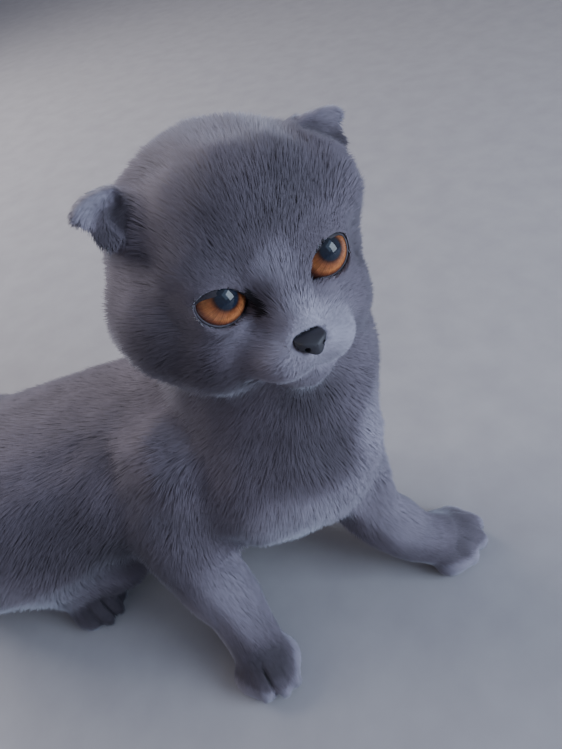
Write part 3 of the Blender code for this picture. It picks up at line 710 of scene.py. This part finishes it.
def tufts(name, roots, normals, places, depth):
    """One piece of coat: a thin closed spike for each root, placed on the skin's unwrap where its root is."""
    count = len(roots)
    thick = depth * 1000
    rise = np.interp(thick, TUFT_DEPTHS, TUFT_RISES)
    lean = np.radians(rise) * (1 + 0.14 * chance.standard_normal(count).clip(-2, 2))
    long = (depth + 0.0002) / np.sin(np.radians(rise)) * (0.80 + 0.34 * chance.random(count))
    wide = np.interp(thick, TUFT_DEPTHS, TUFT_WIDTHS) * (0.8 + 0.4 * chance.random(count))
    flow = unit(lie_of_coat(roots))
    for size, strength, seed in WANDERING:
        flow += strength * np.stack([drift(roots, size, seed + k) for k in range(3)], axis=1)
    flow += 0.08 * chance.standard_normal((count, 3))
    flat = unit(flow - normals * (flow * normals).sum(axis=1, keepdims=True))
    way = flat * np.cos(lean)[:, None] + normals * np.sin(lean)[:, None]
    side = unit(np.cross(way, normals))
    below = np.cross(way, side)
    root = roots - normals * ROOT_SUNK
    corners = np.stack(
        [
            root + side * (0.5 * wide)[:, None],
            root - side * (0.5 * wide)[:, None],
            root - below * (0.45 * wide)[:, None],
            root + way * long[:, None],
        ],
        axis=1,
    )
    corners[:, :, 2] = np.maximum(corners[:, :, 2], TIP_CLEAR_OF_FLOOR)
    first = np.arange(count)[:, None, None] * 4
    faces = (first + np.array([[0, 1, 3], [1, 2, 3], [2, 0, 3], [0, 2, 1]])).reshape(-1, 3)
    mesh = new_mesh(name, corners.reshape(-1, 3), faces)
    unwrapped = (places[:, None, :] + TUFT_PATCH).reshape(-1, 2)[faces.ravel()]
    mesh.uv_layers.new(name="OFBake").data.foreach_set("uv", unwrapped.astype(np.float32).ravel())
    noted(mesh, "along", np.tile([0.0, 0.0, 0.0, 0.8], count))
    noted(mesh, "tone", np.repeat(chance.random(count), 4))
    noted(mesh, "marks_and_painted_light", np.repeat(marks_and_painted_light(roots), 4))
    mesh.shade_smooth()
    facings = [normals + 0.12 * side, normals - 0.12 * side, normals * 1.0, normals + 0.2 * way]
    soft = unit(np.stack(facings, axis=1).reshape(-1, 3))
    mesh.normals_split_custom_set_from_vertices(soft.astype(np.float32))
    piece = placed(name, mesh, coat_finish)
    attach(piece, "root")


coat_finish = coat_material("plush_coat", None)
corner_points = skin_points[skin_triangles]
first_edges = corner_points[:, 1] - corner_points[:, 0]
second_edges = corner_points[:, 2] - corner_points[:, 0]
areas = np.linalg.norm(np.cross(first_edges, second_edges), axis=1) / 2
depths = coat_depth(corner_points.mean(axis=1))
# Tufts for each square millimetre of skin, closer where the coat is shorter.
closeness = np.interp(depths * 1000, (0.5, 1.0, 1.6, 2.8, 3.8), (6.5, 5.5, 4.2, 2.7, 2.0))
needed = closeness * 1e6 * areas
TUFTS = 350000
chosen = chance.choice(len(areas), TUFTS, p=needed / needed.sum())
slide = np.sqrt(chance.random((TUFTS, 1)))
turn = chance.random((TUFTS, 1))
shares = np.concatenate([1 - slide, slide * (1 - turn), slide * turn], axis=1)[:, :, None]
roots = (corner_points[chosen] * shares).sum(axis=1)
root_normals = unit((skin_normals[skin_triangles[chosen]] * shares).sum(axis=1))
skin_mesh.calc_loop_triangles()
loops = np.empty(len(skin_mesh.loop_triangles) * 3, np.int32)
skin_mesh.loop_triangles.foreach_get("loops", loops)
unwrap = np.empty(len(skin_mesh.loops) * 2, np.float32)
skin_mesh.uv_layers["OFBake"].data.foreach_get("uv", unwrap)
root_places = (unwrap.reshape(-1, 2)[loops.reshape(-1, 3)[chosen]] * shares).sum(axis=1)
haired = ~bare(roots, root_normals)
roots, root_normals, root_places = roots[haired], root_normals[haired], root_places[haired]
root_depths = coat_depth(roots)
# Each tuft goes to the part of the coat whose middle is nearest, and a large part is made in pieces.
COAT_PARTS = {
    "face": on_head(0, -52, -8),
    "cheek_left": on_head(42, -20, -8),
    "cheek_right": on_head(-42, -20, -8),
    "crown": on_head(0, 0, 54),
    "nape": on_head(0, 46, 5),
    "breast": on_body(-4, -32, 76),
    "flank_left": on_body(-10, 92, 70),
    "flank_right": on_body(-84, 26, 70),
    "forepaw_left": on_body(46, -62, 10),
    "forepaw_right": on_body(-66, -40, 10),
    "rump": on_body(-150, 100, 60),
    "tail": on_body(-240, 150, 14),
    "thigh_left": on_body(-80, 140, 30),
    "thigh_right": on_body(-120, 34, 30),
    "withers": on_body(-30, 60, 120),
}
MOST_TUFTS = 48000
apart = np.stack([np.linalg.norm(roots - np.array(place), axis=1) for place in COAT_PARTS.values()], axis=1)
nearest_part = apart.argmin(axis=1)
for number, part in enumerate(COAT_PARTS):
    members = np.flatnonzero(nearest_part == number)
    pieces = max(1, math.ceil(len(members) / MOST_TUFTS))
    for share, group in enumerate(np.array_split(members, pieces)):
        name = f"coat_{part}_{share + 1}"
        tufts(name, roots[group], root_normals[group], root_places[group], root_depths[group])

# The nose: bare leather, slate grey and faintly moist, with fine pebbling and two nostrils painted near-black
# as the shade inside them, set into the plush between the whisker pads. It keeps the solid's own form, with
# its facets eased and rounded off.
nose_shape = placed("nose_shape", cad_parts["nose"].data.copy())
welding = nose_shape.modifiers.new("weld", "WELD")
welding.merge_threshold = 0.00001
easing = nose_shape.modifiers.new("ease", "SMOOTH")
easing.factor = 0.5
easing.iterations = 3
rounding = nose_shape.modifiers.new("round", "SUBSURF")
rounding.levels = 2
nose_mesh = with_modifiers(nose_shape)
nose_mesh.shade_smooth()
nose_points, _ = read_mesh(nose_mesh)
leather, tree, shader = new_finish("nose_leather")
nose_spot = node(tree, "ShaderNodeTexCoord").outputs["Object"]
pebbles = node(tree, "ShaderNodeTexVoronoi", {"Vector": nose_spot, "Scale": 1900.0})
mottle = noise(tree, nose_spot, 300.0, 3.0)
slate = ramp(tree, mottle, ((0.3, (0.030, 0.033, 0.048)), (0.7, (0.058, 0.062, 0.082))))
# The nostrils: painted shade, near-black, standing in for the shade inside them.
slate = blended(tree, read_note(tree, "nostril"), slate, (0.004, 0.004, 0.005, 1))
tree.links.new(slate, shader.inputs["Base Color"])
pebbled = bumped(tree, pebbles.outputs["Distance"], 0.45, 0.0003)
tree.links.new(pebbled, shader.inputs["Normal"])
shader.inputs["Roughness"].default_value = 0.42
shader.inputs["Coat Weight"].default_value = 0.25
shader.inputs["Coat Roughness"].default_value = 0.25
nose_piece = placed("nose_pad", nose_mesh, leather)
NOSTRILS = [on_head(flip * 3.4, -59.0, -14.4) for flip in (1, -1)]
painted_nostril_shade = np.max([within(nose_points, nostril, 1.0, 2.1) for nostril in NOSTRILS], axis=0)
noted(nose_mesh, "nostril", painted_nostril_shade)
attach(nose_piece, "root")
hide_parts("nose")

# The eyes: glossy globes with a domed cornea, a wide dark pupil tinted with a painted reflection of the sky,
# and a copper iris of fine fibres, duller and redder at its rim and painted brighter below and darker above,
# under the upper lid's shade. Both are set deep between the lids, and look forward and up.
# The globe lies just inside the eye that the solids show.
EYEBALL = 0.0105
GLOBE = EYEBALL - 0.0001
GAZE = {"left": (1, off_head(0.060, -0.948, 0.318)), "right": (-1, off_head(0.140, -0.943, 0.305))}
# Colours from the middle of the pupil outwards, against the angle from the line of sight. The pupil's blue
# tint is a painted reflection of the sky.
IRIS = (
    (0.355, (0.011, 0.017, 0.034)),
    (0.405, (0.050, 0.018, 0.012)),
    (0.52, (0.300, 0.095, 0.036)),
    (0.72, (0.480, 0.180, 0.066)),
    (0.90, (0.270, 0.085, 0.040)),
    (1.00, (0.120, 0.045, 0.032)),
)


def copper_iris():
    """Copper fibres round a dark pupil, from the angle between a point and the line of sight."""
    material, tree, shader = new_finish("copper_iris")
    place = node(tree, "ShaderNodeTexCoord").outputs["Object"]
    place = node(tree, "ShaderNodeVectorMath", {0: place}, operation="NORMALIZE").outputs[0]
    parts = node(tree, "ShaderNodeSeparateXYZ", {0: place}).outputs
    off = node(tree, "ShaderNodeMath", {0: parts["Z"]}, operation="ARCCOSINE").outputs[0]
    around = node(tree, "ShaderNodeCombineXYZ", {"X": parts["X"], "Y": parts["Y"]}).outputs[0]
    around = node(tree, "ShaderNodeVectorMath", {0: around}, operation="NORMALIZE").outputs[0]
    fibres = noise(tree, around, 22.0, 4.0, 0.7)
    blotches = noise(tree, place, 9.0, 3.0)
    wavy = product(tree, fibres, 0.06)
    off = node(tree, "ShaderNodeMath", {0: off, 1: wavy}, operation="ADD").outputs[0]
    rings = ramp(tree, product(tree, off, 0.90), IRIS)
    shade = spread(tree, fibres, 0.3, 0.7, 0.55, 1.35)
    # Painted light and shade: the iris brighter below and darker above, as under the upper lid.
    lit_below_shaded_above = spread(tree, parts["Y"], 0.6, -0.7, 0.45, 1.35)
    spots = spread(tree, blotches, 0.35, 0.65, 0.8, 1.15)
    shade = product(tree, product(tree, shade, lit_below_shaded_above), spots)
    colour = node(tree, "ShaderNodeVectorMath", {0: rings, "Scale": shade}, operation="SCALE").outputs[0]
    tree.links.new(colour, shader.inputs["Base Color"])
    tree.links.new(bumped(tree, fibres, 0.15, 0.0002), shader.inputs["Normal"])
    shader.inputs["Roughness"].default_value = 0.55
    shader.inputs["Specular IOR Level"].default_value = 0.05
    shader.inputs["Coat Weight"].default_value = 1.0
    shader.inputs["Coat Roughness"].default_value = 0.02
    shader.inputs["Coat IOR"].default_value = 1.45
    return material


CORNEA_RISE = 0.0008
CORNEA_EDGE = 46


def globe(name, gaze, material, steps=96):
    """A sphere of rings round the line of sight, bulging where the cornea is."""
    front = np.linspace(0, math.radians(60), 40)
    rear = np.linspace(math.radians(62), math.pi, 34)
    angles = np.concatenate([front, rear])
    turns = np.linspace(0, 2 * math.pi, steps, endpoint=False)
    dome = np.clip(1 - angles / math.radians(CORNEA_EDGE), 0, 1)
    radius = GLOBE + CORNEA_RISE * dome * dome * (3 - 2 * dome)
    rings = np.stack(
        [
            (radius * np.sin(angles))[:, None] * np.cos(turns),
            (radius * np.sin(angles))[:, None] * np.sin(turns),
            (radius * np.cos(angles))[:, None] * np.ones(steps),
        ],
        axis=2,
    )
    points = np.concatenate([rings[:1, 0], rings[1:-1].reshape(-1, 3), rings[-1:, 0]])
    last = len(points) - 1
    step = np.arange(steps)
    ahead = (step + 1) % steps
    faces = [np.stack([np.zeros(steps, int), 1 + step, 1 + ahead], axis=1)]
    for ring in range(len(angles) - 3):
        low = 1 + ring * steps
        high = low + steps
        faces.append(np.stack([low + step, high + step, high + ahead], axis=1))
        faces.append(np.stack([low + step, high + ahead, low + ahead], axis=1))
    low = last - steps
    faces.append(np.stack([low + step, np.full(steps, last), low + ahead], axis=1))
    mesh = new_mesh(name, points, np.concatenate(faces))
    mesh.shade_smooth()
    piece = placed(name, mesh, material)
    across = off_head(0, 0, 1).cross(gaze).normalized()
    piece.matrix_world = Matrix((across, gaze.cross(across), gaze)).transposed().to_4x4()
    return piece


iris = copper_iris()
for side, (flip, gaze) in GAZE.items():
    eye = globe(f"globe_{side}", gaze, iris)
    eye.location = EYE_PLACES[0 if flip > 0 else 1]
    bpy.context.view_layer.update()
    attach(eye, "root")
    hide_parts(f"eye_{side}")

# The lids: a narrow margin of bare skin round each almond opening, dark above, with painted shade from the
# brow over the dark margin, and pale below. It rests on the globe and runs in under the skin, and the upper
# one hangs lower over the outer half of the eye.
lid_skin, tree, shader = new_finish("lid_skin")
lid_spot = node(tree, "ShaderNodeTexCoord").outputs["Object"]
lid_grain = noise(tree, lid_spot, 700.0, 3.0)
# The upper lid's colour: its dark margin, deepened with painted shade.
dark_lid_and_painted_shade = ramp(tree, lid_grain, ((0.3, (0.026, 0.023, 0.030)), (0.7, (0.050, 0.044, 0.058))))
lid_pale = ramp(tree, lid_grain, ((0.3, (0.072, 0.066, 0.084)), (0.7, (0.108, 0.098, 0.124))))
lid_colour = blended(tree, read_note(tree, "pale"), dark_lid_and_painted_shade, lid_pale)
tree.links.new(lid_colour, shader.inputs["Base Color"])
tree.links.new(bumped(tree, lid_grain, 0.3, 0.0002), shader.inputs["Normal"])
shader.inputs["Roughness"].default_value = 0.6
shader.inputs["Specular IOR Level"].default_value = 0.3

# The lid's section round its closed outline: how far out it lies as a share of the opening, whether it
# keeps clear of the droop, and its distance in millimetres from the middle of the eye.
LID_SECTION = (
    (0.96, 0, 10.46),
    (1.0, 0, 10.75),
    (1.05, 0, 10.95),
    (1.12, 1, 10.92),
    (1.3, 1, 10.6),
    (1.28, 1, 10.3),
)
# Millimetres from the middle of the opening to its outer corner, its top and its bottom.
LID_WIDE = 9.4
LID_HIGH = 5.8
LID_LOW = 6.95


def lids(name, flip, droop, steps=96):
    """A closed ring of skin, its inner edge along the opening and its outer edge hidden under the coat."""
    axes = eye_frame(flip)
    points = []
    pale = []
    for i in range(steps):
        a = 2 * math.pi * i / steps
        u = math.cos(a)
        v = math.sin(a)
        corner = max(-u - 0.7, 0) / 0.3
        for scale, plain, radius in LID_SECTION:
            top = LID_HIGH - (0 if plain else droop * min(max((u + 0.4) / 0.7, 0), 1))
            wide = LID_WIDE * min(u, 0.92 * u) - 2.2 * corner
            high = (top if v > 0 else LID_LOW) * math.copysign(abs(v) ** 1.1, v) - 1.6 * corner
            inward = min(scale, 10.2 / math.hypot(wide, high))
            wide *= inward
            high *= inward
            back = -math.sqrt(max(radius**2 - wide**2 - high**2, 4.0))
            points.append(axes @ (Vector((flip * wide, back, high)) / 1000))
            pale.append(min(max(0.35 + 0.6 * u - 1.1 * v, 0), 1))
    sides = len(LID_SECTION)
    faces = []
    for i in range(steps):
        j = (i + 1) % steps
        for k in range(sides):
            m = (k + 1) % sides
            faces.append((i * sides + k, i * sides + m, j * sides + m))
            faces.append((i * sides + k, j * sides + m, j * sides + k))
    mesh = new_mesh(name, points, faces if flip < 0 else [face[::-1] for face in faces])
    mesh.shade_smooth()
    noted(mesh, "pale", pale)
    piece = placed(name, mesh, lid_skin)
    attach(piece, "root")


lids("lids_left", 1, 0.4)
lids("lids_right", -1, 1.5)

# The studio: a plain pale floor under the resting cat, a window-like light from its front left with the
# open sky beside it, a warmer window behind, and the camera looking down at the photo's angle.
floor_finish, tree, shader = new_finish("pale_floor")
floor_spot = node(tree, "ShaderNodeTexCoord").outputs["Object"]
floor_grain = noise(tree, floor_spot, 40.0, 4.0)
floor_colour = ramp(tree, floor_grain, ((0.3, (0.35, 0.335, 0.365)), (0.7, (0.39, 0.375, 0.405))))
tree.links.new(floor_colour, shader.inputs["Base Color"])
shader.inputs["Roughness"].default_value = 0.9
floor_mesh = bpy.data.meshes.new("floor")
floor_mesh.from_pydata([(-3, -3, 0), (3, -3, 0), (3, 3, 0), (-3, 3, 0)], [], [(0, 1, 2, 3)])
floor = placed("floor", floor_mesh, floor_finish)
middle = on_body(-60, 30, 80)


def softbox(name, way, distance, size, power, colour):
    """A soft light that faces the cat from the way given, its sizes in metres and its power in watts."""
    lamp = bpy.data.lights.new(name, "AREA")
    lamp.shape = "RECTANGLE"
    lamp.size, lamp.size_y = size
    lamp.energy = power
    lamp.color = colour
    holder = bpy.data.objects.new(name, lamp)
    bpy.context.scene.collection.objects.link(holder)
    way = Vector(way).normalized()
    holder.location = middle + way * distance
    holder.rotation_euler = way.to_track_quat("Z", "Y").to_euler()


softbox("window_front_left", (0.55, -0.78, 0.36), 1.1, (0.55, 0.75), 9.5, (0.74, 0.86, 1.0))
softbox("open_sky", (0.36, -0.76, 0.54), 1.5, (1.2, 1.0), 5.5, (0.46, 0.68, 1.0))
softbox("window_behind", (-0.25, 0.85, 0.62), 1.2, (0.9, 0.7), 13.0, (1.0, 0.97, 0.93))
sky = bpy.data.worlds.new("room")
sky.use_nodes = True
tree = sky.node_tree
upward = node(tree, "ShaderNodeTexCoord").outputs["Generated"]
height = node(tree, "ShaderNodeSeparateXYZ", {0: upward}).outputs["Z"]
ROOM = ((0.0, (0.50, 0.47, 0.50)), (0.5, (0.62, 0.62, 0.68)), (1.0, (0.74, 0.78, 0.92)))
tree.links.new(ramp(tree, height, ROOM), tree.nodes["Background"].inputs["Color"])
tree.nodes["Background"].inputs["Strength"].default_value = 0.46
bpy.context.scene.world = sky

# The photo's long side and the camera's focal length, both in the photo's pixels.
PHOTO_HEIGHT = 749
FOCAL_LENGTH = 580
CAMERA_PLACE = (-82.5, -142.9, 287.0)
CAMERA_TURN = (44.136, 9.85, -39.999)
lens = bpy.data.cameras.new("camera")
lens.sensor_width = 36
lens.lens = lens.sensor_width * FOCAL_LENGTH / PHOTO_HEIGHT
lens.clip_start = 0.01
camera = bpy.data.objects.new("camera", lens)
camera.matrix_world = Matrix.Translation(on_body(*CAMERA_PLACE)) @ turned(*CAMERA_TURN)
bpy.context.scene.collection.objects.link(camera)
bpy.context.scene.camera = camera
